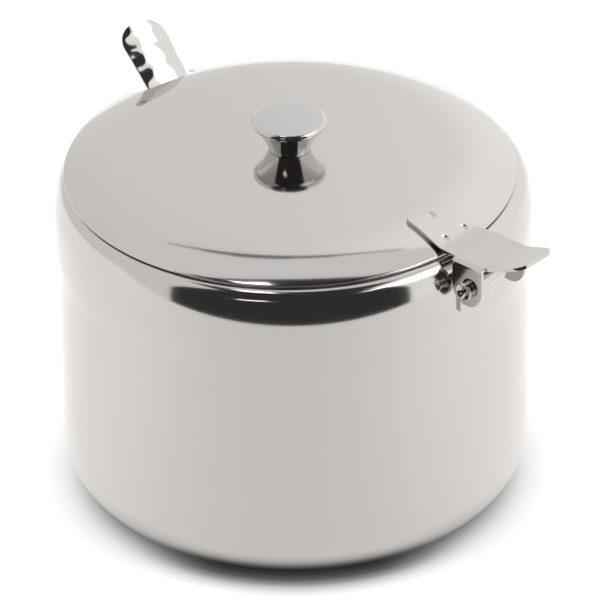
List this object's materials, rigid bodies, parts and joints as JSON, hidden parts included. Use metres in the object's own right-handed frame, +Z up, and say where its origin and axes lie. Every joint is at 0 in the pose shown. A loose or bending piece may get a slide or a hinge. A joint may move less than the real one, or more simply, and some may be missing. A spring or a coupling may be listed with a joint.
{
  "type": "sugar bowl",
  "caption": "Round stainless steel sugar bowl with a hinged domed lid, mushroom knob, thumb lever and a loose spoon that stands through a notch in the lid.",
  "frame": {"origin": "on the bowl's axis, in the plane that the bowl stands on", "axes": "+Z up along the bowl's axis; +X from the axis towards the hinge and thumb tab; +Y along the hinge pin"},
  "size_m": [0.1721, 0.1404, 0.1193],
  "materials": {
    "bowl_steel": "polished drawn stainless steel",
    "lid_steel": "mirror-polished stainless steel with a faint brushed grain",
    "fitting_steel": "polished stainless sheet",
    "pin_steel": "polished stainless steel",
    "knob_steel": "turned and polished stainless steel",
    "fastener_steel": "plain stainless steel",
    "spoon_steel": "hammered and polished stainless steel"
  },
  "bodies": {
    "bowl": {"bowl": "bowl_steel", "hinge_bracket": "fitting_steel"},
    "lid": {"lid": "lid_steel", "lever": "fitting_steel", "hinge_pin": "pin_steel", "knob": "knob_steel", "knob_washer": "fastener_steel", "knob_screw": "fastener_steel"},
    "spoon": {"spoon": "spoon_steel"}
  },
  "joints": [
    {"name": "lid_hinge", "type": "hinge", "parent": "bowl", "child": "lid", "pos_m": [0.0752, 0, 0.09556], "axis": [0, 1, 0], "range_deg": [0, 135]},
    {"name": "spoon_lift", "type": "slide", "parent": "bowl", "child": "spoon", "axis": [-0.7543, 0.1645, 0.6356], "range_m": [0, 0.08]}
  ]
}
